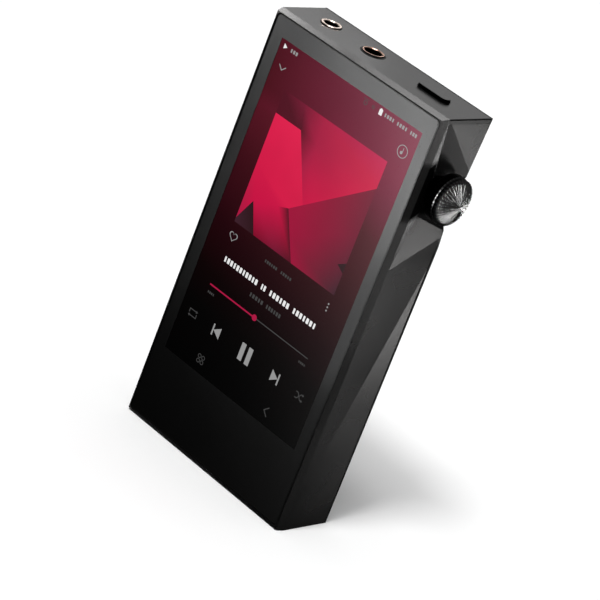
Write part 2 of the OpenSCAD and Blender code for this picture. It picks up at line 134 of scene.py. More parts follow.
def finish_surface(tree, values):
    """Principled surface with the given input values."""
    finish_material(tree, add(tree, "BsdfPrincipled", values).outputs["BSDF"])


def finish_glow(tree, color, strength=1.0):
    """Surface that only gives light."""
    values = {"Color": color, "Strength": strength}
    finish_material(tree, add(tree, "Emission", values).outputs["Emission"])


def rgb(grey_or_color):
    """Four-value colour from a grey level or three values."""
    if isinstance(grey_or_color, (int, float)):
        grey_or_color = (grey_or_color,) * 3
    return (*grey_or_color, 1)


def object_place(tree):
    """Place on the piece, in metres from the frame's origin."""
    return add(tree, "TexCoord").outputs["Object"]


def xyz(tree, vector):
    """X, Y and Z of a vector."""
    split = add(tree, "SeparateXYZ", {"Vector": vector})
    return [split.outputs[axis] for axis in "XYZ"]


def face_normal(tree):
    """Direction that the surface looks in."""
    return add(tree, "NewGeometry").outputs["Normal"]


def facing(tree, axis):
    """Cosine of the angle between the face and an axis."""
    values = {0: face_normal(tree), 1: axis}
    return add(tree, "VectorMath", values, operation="DOT_PRODUCT").outputs["Value"]


def grain(tree, size, detail=3):
    """Noise whose cells are about size millimetres across, over the object's own coordinates."""
    values = {"Vector": object_place(tree), "Scale": 1 / (size * MM), "Detail": detail}
    return add(tree, "TexNoise", values).outputs["Fac"]


def ramp(tree, value, start, end, low=0.0, high=1.0):
    """Straight ramp of a value, clamped at both ends."""
    values = {"Value": value, "From Min": start, "From Max": end, "To Min": low, "To Max": high}
    return add(tree, "MapRange", values).outputs["Result"]


def ramp_mm(tree, value, start, end, low=0.0, high=1.0):
    """Ramp whose start and end are millimetres."""
    return ramp(tree, value, start * MM, end * MM, low, high)


def spread(tree, value, low, high):
    """Noise value stretched over its useful middle to low..high."""
    return ramp(tree, value, 0.3, 0.7, low, high)


def mottled(tree, value, change):
    """Noise value as a factor of 1 give or take the change."""
    return spread(tree, value, 1 - change, 1 + change)


def patchy(tree, roughness, change):
    """Roughness that drifts over wide patches."""
    return spread(tree, grain(tree, PATCH_CELL, 2), roughness - change, roughness + change)


def shaded(tree, color, factor):
    """Colour, given as values or as a socket, multiplied by a factor."""
    if not isinstance(color, bpy.types.NodeSocket):
        color = rgb(color)
    return add(tree, "HueSaturation", {"Color": color, "Value": factor}).outputs["Color"]


def blend(tree, share, first, second):
    """Colour that turns from the first to the second as the share goes from 0 to 1."""
    values = {"Factor": share, "A": rgb(first), "B": rgb(second)}
    return add(tree, "Mix", values, data_type="RGBA").outputs["Result"]


def bumped(tree, height, depth, round_edge=None):
    """Normal of a bump that is depth millimetres high, over rounded edges where a radius is given."""
    values = {"Height": height, "Distance": depth * MM}
    if round_edge is not None:
        values["Normal"] = add(tree, "Bevel", {"Radius": round_edge * MM}, samples=4).outputs["Normal"]
    return add(tree, "Bump", values).outputs["Normal"]


# ---------- materials ----------

CASE_GREY = (0.125, 0.123, 0.122)
CASE_ROUGHNESS = 0.26
CASE_CELL = 0.35
CASE_MOTTLE = 0.12
BUMP_DEPTH = 0.004
EDGE_R = 0.06
KEY_FLANK_GREY = 0.004

# The case's lower rear wedge looks along +X and gets a painted highlight: range of that cosine, heights,
# and brightness at both ends
WEDGE_FACING = (0.9995, 0.9998)
WEDGE_TOP_Z = 87
WEDGE_Z = (36, 80)
WEDGE_GAINS = (1.5, 4.4)

# The upper rear facet looks almost along +X, and a painted highlight brightens it by these shares
UPPER_FACING = (0.9988, 0.999)
UPPER_START_Z = 98
UPPER_Z = (100, 118)
UPPER_EXTRAS = (1.7, 0.3)

# Painted shade in front of the knob, for its shadow and its dark reflection: its middle, its half height,
# its fade and the share of it on the chamfer
SHADE_Z = 98.3
SHADE_HALF = 7.0
SHADE_FADE = 1.8
SHADE_START_X = 25
SHADE_CHAMFER_Y = -7.6
SHADE_ON_CHAMFER = 0.65
SHADE_LEVEL = 0.04

# How far back the painted shade reaches: in the notch, above it, and its slant along the facet above
SHADE_REAR_Y = (2.5, -1.4)
SHADE_REAR_Z = (99, 101)
SLANT_Z = (102, 118.7)
SLANT_Y = 5.85

# Step along the top edges, and the overlap of its black line of painted shade on both sides
CAP_STEP = 0.35
STEP_LINE_BELOW = 0.03
STEP_LINE_ABOVE = 0.005

# Knob: number of flutes, metal grey, darkness of the painted shade in the flute bottoms and end of the
# smooth black wall
TEETH = 40
KNOB_GREY = 0.34
FLUTE_SHADE = 0.12
BLACK_WALL_END_X = 32.8

# Distance from a flute's bottom, as a share of its width, over which the painted shade fades
FLUTE_FADE = (0.06, 0.3)


def grained(name, color, metallic=0.0, roughness=0.5, cell=0.3, mottle=0.12, height=BUMP_DEPTH,
            round_edge=EDGE_R, **extra):
    """Principled surface with a fine grain, mottled colour, patchy roughness and rounded edges."""
    material, tree = new_material(name)
    fine = grain(tree, cell)
    tone = shaded(tree, color, mottled(tree, fine, mottle))
    values = {"Base Color": tone, "Metallic": metallic, "Roughness": patchy(tree, roughness, 0.05),
              "Normal": bumped(tree, fine, height, round_edge)}
    values.update({key.replace("_", " "): value for key, value in extra.items()})
    finish_surface(tree, values)
    return material


def black_flanked_key(name, axis):
    """Key with the case's finish on the face that looks along axis, and black flanks."""
    material, tree = new_material(name)
    fine = grain(tree, 0.3)
    on_top = ramp(tree, facing(tree, axis), 0.5, 0.8)
    tone = blend(tree, on_top, KEY_FLANK_GREY, CASE_GREY)
    finish_surface(tree, {"Base Color": shaded(tree, tone, mottled(tree, fine, CASE_MOTTLE)),
                          "Metallic": on_top, "Roughness": CASE_ROUGHNESS,
                          "Normal": bumped(tree, fine, BUMP_DEPTH), "Specular IOR Level": 0.2})
    return material


def turned_knob(name):
    """Polished knob metal with painted shade in the flute bottoms, whose smooth wall and underside are
    black.
    """
    material, tree = new_material(name)
    x, y, z = xyz(tree, object_place(tree))
    polished = ramp_mm(tree, x, BLACK_WALL_END_X - 0.05, BLACK_WALL_END_X)
    from_mid_y = calc(tree, "SUBTRACT", y, knob_y * MM)
    from_mid_z = calc(tree, "SUBTRACT", z, knob_z * MM)
    turn = calc(tree, "ARCTAN2", from_mid_z, from_mid_y)
    flute = calc(tree, "FRACT", product(tree, turn, TEETH / (2 * pi)))
    from_valley = calc(tree, "ABSOLUTE", calc(tree, "SUBTRACT", flute, 0.5))
    # Painted shade in the flute bottoms
    bottom = ramp(tree, from_valley, *FLUTE_FADE, FLUTE_SHADE, 1.0)
    tone = blend(tree, polished, 0.012, KNOB_GREY)
    fine = grain(tree, 0.12)
    level = product(tree, mottled(tree, fine, 0.08), bottom)
    finish_surface(tree, {"Base Color": shaded(tree, tone, level), "Metallic": 1.0,
                          "Roughness": ramp(tree, polished, 0, 1, 0.4, 0.2),
                          "Normal": bumped(tree, fine, 0.001)})
    return material


def clear_glass(name):
    """Thin clear glass: see-through, with a Fresnel reflection that faint smears roughen."""
    material, tree = new_material(name)
    smear = spread(tree, grain(tree, 9, 4), 0.01, 0.02)
    mirror = add(tree, "BsdfGlossy", {"Color": rgb(1), "Roughness": smear}).outputs["BSDF"]
    clear = add(tree, "BsdfTransparent", {"Color": rgb(0.97)}).outputs["BSDF"]
    fresnel = add(tree, "Fresnel", {"IOR": 1.5}).outputs["Fac"]
    inside = add(tree, "NewGeometry").outputs["Backfacing"]
    share = product(tree, fresnel, calc(tree, "SUBTRACT", 1.0, inside))
    finish_material(tree, add(tree, "MixShader", {0: share, 1: clear, 2: mirror}).outputs["Shader"])
    return material


def lit_level(tree):
    """Slight unevenness of a lit area."""
    return mottled(tree, grain(tree, 8, 1), 0.03)


def lit(name, color, strength=1.0):
    """Lit pixels of one colour."""
    material, tree = new_material(name)
    finish_glow(tree, shaded(tree, color, lit_level(tree)), strength)
    return material


def lit_attribute(name):
    """Lit pixels whose colour is held at the mesh's corners."""
    material, tree = new_material(name)
    color = add(tree, "VertexColor", layer_name="glow").outputs["Color"]
    finish_glow(tree, shaded(tree, color, lit_level(tree)))
    return material


def painted_facet_highlight(tree, z):
    """Painted highlight: brightness factor of the two rear facets that look along +X, and 1 elsewhere."""
    along = facing(tree, (1, 0, 0))
    below = ramp_mm(tree, z, WEDGE_TOP_Z, WEDGE_TOP_Z + 2, 1.0, 0.0)
    rising = calc(tree, "SUBTRACT", ramp_mm(tree, z, *WEDGE_Z, *WEDGE_GAINS), 1.0)
    wedge = product(tree, ramp(tree, along, *WEDGE_FACING), below, rising)
    above = ramp_mm(tree, z, UPPER_START_Z, UPPER_START_Z + 1)
    falling = ramp_mm(tree, z, *UPPER_Z, *UPPER_EXTRAS)
    upper = product(tree, ramp(tree, along, *UPPER_FACING), above)
    return calc(tree, "ADD", calc(tree, "MULTIPLY_ADD", upper, falling, wedge), 1.0)


def knob_shade(tree, x, y, z):
    """1 in the painted shade in front of the knob, and 0 elsewhere."""
    away = calc(tree, "ABSOLUTE", calc(tree, "SUBTRACT", z, SHADE_Z * MM))
    near = ramp_mm(tree, away, SHADE_HALF, SHADE_HALF + SHADE_FADE, 1.0, 0.0)
    limit = ramp_mm(tree, z, *SHADE_REAR_Z, SHADE_REAR_Y[0] * MM, SHADE_REAR_Y[1] * MM)
    slant = ramp_mm(tree, z, *SLANT_Z, 0.0, SLANT_Y * MM)
    behind = calc(tree, "SUBTRACT", calc(tree, "ADD", y, slant), limit)
    in_front = ramp_mm(tree, behind, -0.3, 0.1, 1.0, 0.0)
    on_right = ramp_mm(tree, x, SHADE_START_X, SHADE_START_X + 1)
    on_side = ramp_mm(tree, y, SHADE_CHAMFER_Y, SHADE_CHAMFER_Y + 0.4, SHADE_ON_CHAMFER, 1.0)
    return product(tree, near, in_front, on_right, on_side)


def anodised_body(name):
    """The case's grained finish, with a painted highlight on the facets that look along +X and painted
    shade in front of the knob.
    """
    material, tree = new_material(name)
    x, y, z = xyz(tree, object_place(tree))
    # Painted shade of the knob: it darkens the colour and takes the metal's reflection away
    shade = knob_shade(tree, x, y, z)
    fine = grain(tree, CASE_CELL)
    level = product(tree, mottled(tree, fine, CASE_MOTTLE), painted_facet_highlight(tree, z),
                    ramp(tree, shade, 0, 1, 1.0, SHADE_LEVEL))
    finish_surface(tree, {"Base Color": shaded(tree, CASE_GREY, level),
                          "Roughness": patchy(tree, CASE_ROUGHNESS, 0.03),
                          "Metallic": ramp(tree, shade, 0, 1, 1.0, 0.0), "Specular IOR Level": 0.0,
                          "Normal": bumped(tree, fine, BUMP_DEPTH, EDGE_R)})
    return material


def plated_ring(name, node, color, bore, rim):
    """Plated ring with painted shade, black, inside its bore radius, and black outside its rim radius."""
    material, tree = new_material(name)
    low, high = box_mm(node)
    centre = ((low.x + high.x) / 2 * MM, (low.y + high.y) / 2 * MM, 0)
    values = {0: object_place(tree), 1: (1, 1, 0)}
    flat = add(tree, "VectorMath", values, operation="MULTIPLY").outputs["Vector"]
    offset = add(tree, "VectorMath", {0: flat, 1: centre}, operation="DISTANCE").outputs["Value"]
    outer = ramp_mm(tree, offset, rim, rim + 0.05)
    # Painted shade inside the bore
    bore_shade = ramp_mm(tree, offset, bore + 0.02, bore + 0.08, 1.0, 0.0)
    black = calc(tree, "MAXIMUM", outer, bore_shade)
    tone = blend(tree, black, color, 0.004)
    level = mottled(tree, grain(tree, 0.2), 0.05)
    finish_surface(tree, {"Base Color": shaded(tree, tone, level), "Metallic": 1.0,
                          "Roughness": ramp(tree, black, 0, 1, 0.22, 0.5)})
    return material


def capped_case(name):
    """The case's finish, with a black line of painted shade in the step along the top edges."""
    material, tree = new_material(name)
    height = xyz(tree, object_place(tree))[2]
    step_z = box_mm("top_cap")[1].z - CAP_STEP
    # Painted shade in the step: a black band on the cap's edge
    above = calc(tree, "GREATER_THAN", height, (step_z - STEP_LINE_BELOW) * MM)
    below = calc(tree, "LESS_THAN", height, (case_high.z - STEP_LINE_ABOVE) * MM)
    tone = blend(tree, product(tree, above, below), CASE_GREY, 0.002)
    fine = grain(tree, CASE_CELL)
    finish_surface(tree, {"Base Color": shaded(tree, tone, mottled(tree, fine, CASE_MOTTLE)),
                          "Metallic": 1.0, "Roughness": CASE_ROUGHNESS,
                          "Normal": bumped(tree, fine, BUMP_DEPTH)})
    return material


def faceted_gloss(name, color, rim):
    """Gloss black with faint flat planes of different tilt under a clear coat, and a plain metal rim."""
    material, tree = new_material(name)
    cell, tilt = 16, 0.12
    values = {"Vector": object_place(tree), "Scale": 1 / (cell * MM)}
    cells = add(tree, "TexVoronoi", values, feature="F1").outputs["Color"]
    offset = add(tree, "VectorMath", {0: cells, 1: (0.5, 0.5, 0.5)}, operation="SUBTRACT").outputs["Vector"]
    small = add(tree, "VectorMath", {0: offset, "Scale": tilt}, operation="SCALE").outputs["Vector"]
    flat = face_normal(tree)
    leaning = add(tree, "VectorMath", {0: flat, 1: small}, operation="ADD").outputs["Vector"]
    normal = add(tree, "VectorMath", {0: leaning}, operation="NORMALIZE").outputs["Vector"]
    on_back = ramp(tree, xyz(tree, flat)[1], 0.3, 0.6)
    tone = shaded(tree, blend(tree, on_back, rim, color), mottled(tree, grain(tree, 0.2), 0.15))
    finish_surface(tree, {"Base Color": tone, "Metallic": 0.6, "Roughness": 0.22, "Normal": normal,
                          "Coat Weight": on_back, "Coat Roughness": 0.12})
    return material


SLOT_MATERIALS = {
    "anodised_case": anodised_body("anodised_case"),
    "rear_glass": faceted_gloss("rear_glass", (0.02, 0.02, 0.023), 0.05),
    "gasket": grained("gasket", 0.006, 0.0, 0.75, cell=0.2),
    "screen": grained("screen", (0.012, 0.006, 0.008), 0.0, 0.25, cell=0.5),
    "diffuser": grained("diffuser", (0.8, 0.8, 0.78), 0.0, 0.5, cell=0.6, mottle=0.03),
    "flex": grained("flex", (0.42, 0.17, 0.04), 0.0, 0.35, cell=0.8, Coat_Weight=0.5),
    "steel_sheet": grained("steel_sheet", (0.5, 0.51, 0.53), 1.0, 0.32, cell=0.15),
    "steel_fastener": grained("steel_fastener", (0.42, 0.42, 0.43), 1.0, 0.25, cell=0.1),
    "black_plastic": grained("black_plastic", 0.012, 0.0, 0.45, cell=0.25),
    "circuit_board": grained("circuit_board", (0.008, 0.05, 0.03), 0.0, 0.3, cell=1.2, mottle=0.3),
    "chip_resin": grained("chip_resin", 0.018, 0.0, 0.6, cell=0.2),
    "brass": grained("brass", (0.62, 0.45, 0.2), 1.0, 0.28, cell=0.2),
    "contact_gold": grained("contact_gold", (0.83, 0.6, 0.3), 1.0, 0.2, cell=0.2),
    "rose_gold": grained("rose_gold", (0.86, 0.56, 0.44), 1.0, 0.16, cell=0.2, mottle=0.04, height=0.001),
    "battery_wrap": grained("battery_wrap", (0.05, 0.055, 0.07), 0.3, 0.4, cell=1.0),
    "knob_metal": turned_knob("turned_knob"),
    "cover_glass": clear_glass("cover_glass"),
}
SIDE_KEY = black_flanked_key("side_key_finish", (-1, 0, 0))

# Nodes whose finish isn't that of their slot
NODE_FINISHES = {
    "top_cap": capped_case("capped_case"),
    "power_button": black_flanked_key("power_key_finish", (0, 0, 1)),
    "previous_button": SIDE_KEY,
    "play_button": SIDE_KEY,
    "next_button": SIDE_KEY,
    "jack_35_ring": plated_ring("pale_ring", "jack_35_ring", (0.95, 0.78, 0.68), 2.0, 2.8),
    "jack_44_ring": plated_ring("rose_ring", "jack_44_ring", (0.85, 0.52, 0.4), 2.45, 2.82),
}


def dress_frame():
    """Gives each CAD node its own finish or the procedural material of its record slot."""
    for part in frame["record"]["subparts"]:
        name = part["node"]
        material = NODE_FINISHES.get(name) or SLOT_MATERIALS[part["material_slot"]]
        mesh = frame["nodes"][name].data
        mesh.materials.clear()
        mesh.materials.append(material)


# ---------- mesh helpers ----------

def mesh_object(name, points, faces, material, body, smooth=False):
    """Object from points in millimetres that rides on a body and takes the given material."""
    mesh = bpy.data.meshes.new(name)
    mesh.from_pydata([Vector(p) * MM for p in points], [], faces)
    mesh.validate()
    mesh.update()
    for face in mesh.polygons:
        face.use_smooth = smooth
    mesh.materials.append(material)
    piece = bpy.data.objects.new(name, mesh)
    scene.collection.objects.link(piece)
    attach(piece, body)
    return piece


class Solid:
    """Points and faces of closed plates that are raised from flat (x, z) outlines."""

    def __init__(self):
        self.points = []
        self.faces = []

    def plate(self, loops, y_front, y_back):
        """Adds a plate with its outer outline first and its holes after it."""
        flat = [Vector((x, z, 0)) for loop in loops for x, z in loop]
        front, back = len(self.points), len(self.points) + len(flat)
        self.points += [(p.x, y_front, p.y) for p in flat] + [(p.x, y_back, p.y) for p in flat]
        for a, b, c in tessellate_polygon([[Vector((x, z, 0)) for x, z in loop] for loop in loops]):
            if (flat[b] - flat[a]).cross(flat[c] - flat[a]).z < 0:
                b, c = c, b
            self.faces += [(front + a, front + b, front + c), (back + a, back + c, back + b)]
        start = 0
        for number, loop in enumerate(loops):
            area = sum(p[0] * q[1] - q[0] * p[1] for p, q in zip(loop, loop[1:] + loop[:1]))
            turn = 1 if (area > 0) == (number == 0) else -1
            count = len(loop)
            for i in range(count):
                a, b = start + i, start + (i + 1) % count
                wall = (front + a, back + a, back + b, front + b)
                self.faces.append(wall if turn > 0 else wall[::-1])
            start += count


def arc(cx, cz, r, start, end, steps):
    """Points on an arc from start to end degrees."""
    turn = [radians(start + (end - start) * i / steps) for i in range(steps + 1)]
    return [(cx + r * cos(t), cz + r * sin(t)) for t in turn]


def circle(cx, cz, r, steps=28):
    """Closed outline of a circle."""
    return arc(cx, cz, r, 0, 360, steps)[:-1]


def bar(cx, cz, width, height):
    """Bar with round ends."""
    r = height / 2
    x = width / 2 - r
    return arc(cx + x, cz, r, -90, 90, 8) + arc(cx - x, cz, r, 90, 270, 8)


def rectangle(x0, x1, z0, z1, r=0.0, steps=6):
    """Rectangle, with round corners where r isn't 0."""
    if r == 0:
        return [(x0, z0), (x1, z0), (x1, z1), (x0, z1)]
    return (arc(x0 + r, z0 + r, r, 180, 270, steps) + arc(x1 - r, z0 + r, r, 270, 360, steps)
            + arc(x1 - r, z1 - r, r, 0, 90, steps) + arc(x0 + r, z1 - r, r, 90, 180, steps))


def stroke(line, width):
    """Outline of an open line of the given width, with mitred corners."""
    points = [Vector(p) for p in line]
    left, right = [], []
    for i, p in enumerate(points):
        before = (p - points[i - 1]).normalized() if i else (points[1] - p).normalized()
        after = (points[i + 1] - p).normalized() if i + 1 < len(points) else before
        along = (before + after).normalized()
        across = Vector((-along.y, along.x)) * width / 2 / max(along.dot(after), 0.3)
        left.append(tuple(p + across))
        right.append(tuple(p - across))
    return right + left[::-1]


def moved(loop, cx, cz):
    """Outline moved from the origin to a centre."""
    return [(cx + x, cz + z) for x, z in loop]


# ---------- screen ----------

def screen_piece(name, shapes, y, material):
    """Thin plates on the display. A shape is one outline or an outline with its holes."""
    solid = Solid()
    for shape in shapes:
        loops = shape if isinstance(shape[0], list) else [shape]
        solid.plate([moved(loop, 0, lit_mid) for loop in loops], y, y + LAYER_T)
    return mesh_object(name, solid.points, solid.faces, material, "player")


def heart(width, inset=0.0):
    """Heart outline, shrunk by inset."""
    scale = (width / 2 - inset) / 16
    turn = [2 * pi * i / 36 for i in range(36)]
    return [(scale * 16 * sin(t) ** 3, scale * (13 * cos(t) - 5 * cos(2 * t) - 2 * cos(3 * t) - cos(4 * t)))
            for t in turn]


def ring(cx, cz, r, width):
    """Circle with a round hole that leaves a line of the given width."""
    return [circle(cx, cz, r), circle(cx, cz, r - width)[::-1]]


def arrow_tip(x, z, size, side):
    """Small triangle that points along +X or -X."""
    return [(x, z + size), (x, z - size), (x + side * 1.6 * size, z)]


def repeat_icon(cx, cz):
    """Two bent arrows that follow each other round."""
    w, h, t = 1.35, 0.85, 0.22
    return [stroke([(cx - w, cz - 0.2), (cx - w, cz + h), (cx + w - 0.3, cz + h)], t),
            stroke([(cx + w, cz + 0.2), (cx + w, cz - h), (cx - w + 0.3, cz - h)], t),
            arrow_tip(cx + w - 0.4, cz + h, 0.4, 1),
            arrow_tip(cx - w + 0.4, cz - h, 0.4, -1)]


def shuffle_icon(cx, cz):
    """Two arrows that cross."""
    w, h, t = 1.35, 0.8, 0.22
    lines, tips = [], []
    for z in (-h, h):
        line = [(-w, z), (-0.6, z), (0.6, -z), (w - 0.3, -z)]
        lines.append(stroke(moved(line, cx, cz), t))
        tips.append(arrow_tip(cx + w - 0.4, cz + z, 0.4, 1))
    return lines + tips


def skip_icon(cx, cz, side):
    """Triangle against a bar: next with side 1, previous with side -1."""
    half = 1.6
    tip, edge = cx + side * 1.0, cx + side * 1.45
    base = cx - side * 1.45
    triangle = [(base, cz + half), (base, cz - half), (tip, cz)]
    return [triangle, rectangle(min(tip, edge), max(tip, edge), cz - half, cz + half)]


def heart_icon(cx, cz):
    """Heart drawn as a line."""
    width, line = 2.9, 0.24
    return [[moved(heart(width), cx, cz), moved(heart(width, line), cx, cz)[::-1]]]


def note_icon(cx, cz):
    """Round note with its stem in a ring."""
    head = circle(cx - 0.25, cz - 0.4, 0.42, 16)
    stem = rectangle(cx, cx + 0.17, cz - 0.4, cz + 0.95)
    return [ring(cx, cz, 1.7, 0.2), head, stem]


def chevron_icon(cx, cz):
    """Open arrow that points down."""
    return [stroke(moved([(-1.2, 0.6), (0, -0.55), (1.2, 0.6)], cx, cz), 0.24)]


def back_icon(cx, cz):
    """Open arrow that points left."""
    return [stroke(moved([(0.7, 1.35), (-0.7, 0), (0.7, -1.35)], cx, cz), 0.25)]


def pause_icon(cx, cz):
    """Two upright bars."""
    half_w, half_h, off = 0.75, 2.45, 1.325
    return [rectangle(x - half_w, x + half_w, cz - half_h, cz + half_h, 0.1) for x in (cx - off, cx + off)]


def more_icon(cx, cz):
    """Three dots above each other."""
    return [circle(cx, z, 0.24, 12) for z in (cz - 0.95, cz, cz + 0.95)]


def grid_icon(cx, cz):
    """Four small rings in a square."""
    off = 0.68
    return [ring(x, z, 0.6, 0.17) for x in (cx - off, cx + off) for z in (cz - off, cz + off)]


def battery_icon(cx, cz):
    """Upright cell with its cap."""
    cell = rectangle(cx - 0.55, cx + 0.55, cz - 0.8, cz + 0.7)
    return [cell, rectangle(cx - 0.25, cx + 0.25, cz + 0.72, cz + 0.95)]


def signal_icon(cx, cz):
    """Ring under a short bar."""
    return [ring(cx, cz - 0.2, 0.62, 0.2), rectangle(cx - 0.9, cx + 0.9, cz + 0.7, cz + 0.85)]


# Heights on the screen, in millimetres from the middle of the lit area
STATUS_Z = 43.8
HEAD_Z = 38.5
INFO_Z = -7.5
TITLE_Z = -14.0
ARTIST_Z = -17.7
PROGRESS_Z = -22.4
TIMES_Z = -24.5
CONTROL_Z = -32.4
NAV_Z = -41.7
ART_MID_Z = 15.1

# Half the width of the cover art, and how far the progress bar is filled
ART_HALF = 18.9
PLAYED = -1.6

# Half widths of the blocks in a word, as shares of their pitch
WIDE_BLOCK = 0.34
NARROW_BLOCK = 0.24


def word(left, right, z, tall, pitch):
    """Row of small solid blocks that stands in for a word."""
    count = max(round((right - left) / pitch), 1)
    step = (right - left) / count
    blocks = []
    for i in range(count):
        x = left + (i + 0.5) * step
        half = step * (WIDE_BLOCK if i % 3 else NARROW_BLOCK)
        blocks.append(rectangle(x - half, x + half, z - tall / 2, z + tall / 2, half * 0.4, 3))
    return blocks


def words(spans, z, tall, pitch):
    """Rows of blocks that fill spans of x."""
    return [block for left, right in spans for block in word(left, right, z, tall, pitch)]


def white_shapes():
    """Title, battery and play mark, which are shown brightest."""
    title = words([(-17.7, -4.6), (-3.4, -1.4), (-0.2, 7.5), (8.7, 17.5)], TITLE_Z, 1.5, 1.2)
    play = moved([(-0.6, -0.7), (0.6, 0), (-0.6, 0.7)], -23.4, STATUS_Z)
    return title + battery_icon(11.55, STATUS_Z) + [play]


def pale_shapes():
    """Status figures, larger icons and transport controls."""
    status = words([(-21.6, -18.8), (12.8, 16.4), (17.2, 21.0), (21.9, 24.4)], STATUS_Z, 0.95, 0.85)
    head = chevron_icon(-22.1, HEAD_Z) + note_icon(22.0, HEAD_Z)
    info = heart_icon(-17.4, INFO_Z) + more_icon(18.5, INFO_Z)
    skips = skip_icon(-11.5, CONTROL_Z, -1) + skip_icon(11.4, CONTROL_Z, 1)
    return status + head + info + skips + pause_icon(-0.075, CONTROL_Z)


def dim_shapes():
    """Faint lines and icons."""
    info = words([(-5.2, -0.4), (0.8, 5.0)], INFO_Z, 0.8, 0.8)
    artist = words([(-5.9, -0.6), (0.4, 6.1)], ARTIST_Z, 1.1, 1.0)
    rest = rectangle(PLAYED + 0.7, 18.8, PROGRESS_Z - 0.13, PROGRESS_Z + 0.13)
    times = words([(-18.9, -16.3), (16.3, 18.9)], TIMES_Z, 0.6, 0.65)
    signal = signal_icon(6.2, STATUS_Z) + [ring(8.9, STATUS_Z, 0.45, 0.18)]
    controls = repeat_icon(-20.8, CONTROL_Z) + shuffle_icon(20.6, CONTROL_Z)
    foot = grid_icon(-13.0, NAV_Z) + back_icon(12.7, NAV_Z)
    return info + artist + [rest] + times + signal + controls + foot


def progress_shapes():
    """Filled part of the progress bar and its handle."""
    played = rectangle(-ART_HALF, PLAYED, PROGRESS_Z - 0.2, PROGRESS_Z + 0.2)
    return [played, circle(PLAYED, PROGRESS_Z, 0.85)]


# Colours of the cover art, linear
BRIGHT = (0.78, 0.014, 0.078)
SCARLET = (0.7, 0.01, 0.066)
RED = (0.62, 0.006, 0.06)
ROSE = (0.57, 0.008, 0.082)
CRIMSON = (0.42, 0.01, 0.056)
CARMINE = (0.36, 0.006, 0.044)
MAROON = (0.24, 0.003, 0.024)
WINE = (0.18, 0.008, 0.032)
DARK = (0.085, 0.005, 0.015)
DUSK = (0.05, 0.016, 0.026)
NIGHT = (0.028, 0.008, 0.011)

# Folded planes of the cover art: corners in shares of its square, with a colour at each corner
ART_PLANES = [
    ([(0, 0.83), (0.2, 0.83), (0.2, 1), (0, 1)], [DARK, DARK, WINE, DARK]),
    ([(0.2, 1), (0.2, 0.83), (0.25, 0.83), (0.37, 0.6), (0.42, 0.8), (0.4, 1)],
     [WINE, DARK, DARK, CRIMSON, CRIMSON, CRIMSON]),
    ([(0.4, 1), (0.42, 0.8), (0.37, 0.6), (0.49, 0.395), (1, 0.8), (1, 1)],
     [CRIMSON, CRIMSON, CRIMSON, RED, RED, ROSE]),
    ([(0, 0.83), (0.25, 0.83), (0.49, 0.395), (0.39, 0.315), (0, 0.45)],
     [BRIGHT, BRIGHT, SCARLET, SCARLET, SCARLET]),
    ([(0, 0.45), (0.39, 0.315), (0.3, 0.283), (0.09, 0.206), (0, 0.03)],
     [SCARLET, SCARLET, RED, RED, CRIMSON]),
    ([(0.09, 0.206), (0.3, 0.283), (0.42, 0), (0.194, 0)], [RED, RED, WINE, MAROON]),
    ([(0.3, 0.283), (0.39, 0.315), (0.575, 0), (0.42, 0)], [RED, DARK, DARK, WINE]),
    ([(0.39, 0.315), (0.49, 0.395), (1, 0.8), (1, 0.45), (0.48, 0.16)],
     [CARMINE, CARMINE, WINE, WINE, CARMINE]),
    ([(0.48, 0.16), (1, 0.45), (1, 0), (0.575, 0)], [CARMINE, WINE, DUSK, CARMINE]),
    ([(0, 0), (0.194, 0), (0.09, 0.206), (0, 0.03)], [DUSK, NIGHT, NIGHT, DUSK]),
    ([(0.935, 0.2), (1, 0.165), (1, 0.24)], [NIGHT, NIGHT, NIGHT]),
]


def colored_piece(name, planes, y, step, material):
    """Flat planes with a colour at each corner, each one step in front of the one before."""
    solid = Solid()
    colors = []
    for number, (outline, corner_colors) in enumerate(planes):
        front = y - number * step
        solid.plate([outline], front, y + LAYER_T)
        colors += corner_colors * 2
    piece = mesh_object(name, solid.points, solid.faces, material, "player")
    layer = piece.data.color_attributes.new("glow", "FLOAT_COLOR", "POINT")
    for item, color in zip(layer.data, colors):
        item.color = rgb(color)
    return piece


# Wall behind the icons: share of the lit height, colour at the left, colour at the right
BACKDROP_ROWS = [
    (1.0, (0.075, 0.004, 0.011), (0.225, 0.012, 0.05)),
    (0.86, (0.07, 0.004, 0.01), (0.22, 0.012, 0.048)),
    (0.8, (0.1, 0.006, 0.016), (0.19, 0.01, 0.042)),
    (0.65, (0.05, 0.003, 0.008), (0.08, 0.008, 0.015)),
    (0.45, (0.017, 0.001, 0.003), (0.03, 0.004, 0.006)),
    (0.3, (0.004, 0.0007, 0.001), (0.011, 0.002, 0.003)),
    (0.18, (0.001, 0.0007, 0.0007), (0.002, 0.001, 0.001)),
    (0.0, (0.0005, 0.0005, 0.0005), (0.0005, 0.0005, 0.0005)),
]


def backdrop_planes():
    """Wall of dark red behind the icons, paler at the top right and black at the foot."""
    height = lit_top - lit_foot
    planes = []
    for (top, left_a, right_a), (foot, left_b, right_b) in zip(BACKDROP_ROWS, BACKDROP_ROWS[1:]):
        z_top, z_foot = lit_foot + top * height, lit_foot + foot * height
        outline = [(-lit_x, z_foot), (lit_x, z_foot), (lit_x, z_top), (-lit_x, z_top)]
        planes.append((outline, [left_b, right_b, right_a, left_a]))
    return planes


def art_planes():
    """Planes of the cover art in millimetres."""
    left, foot = -ART_HALF, lit_mid + ART_MID_Z - ART_HALF
    return [([(left + x * 2 * ART_HALF, foot + z * 2 * ART_HALF) for x, z in outline], colors)
            for outline, colors in ART_PLANES]


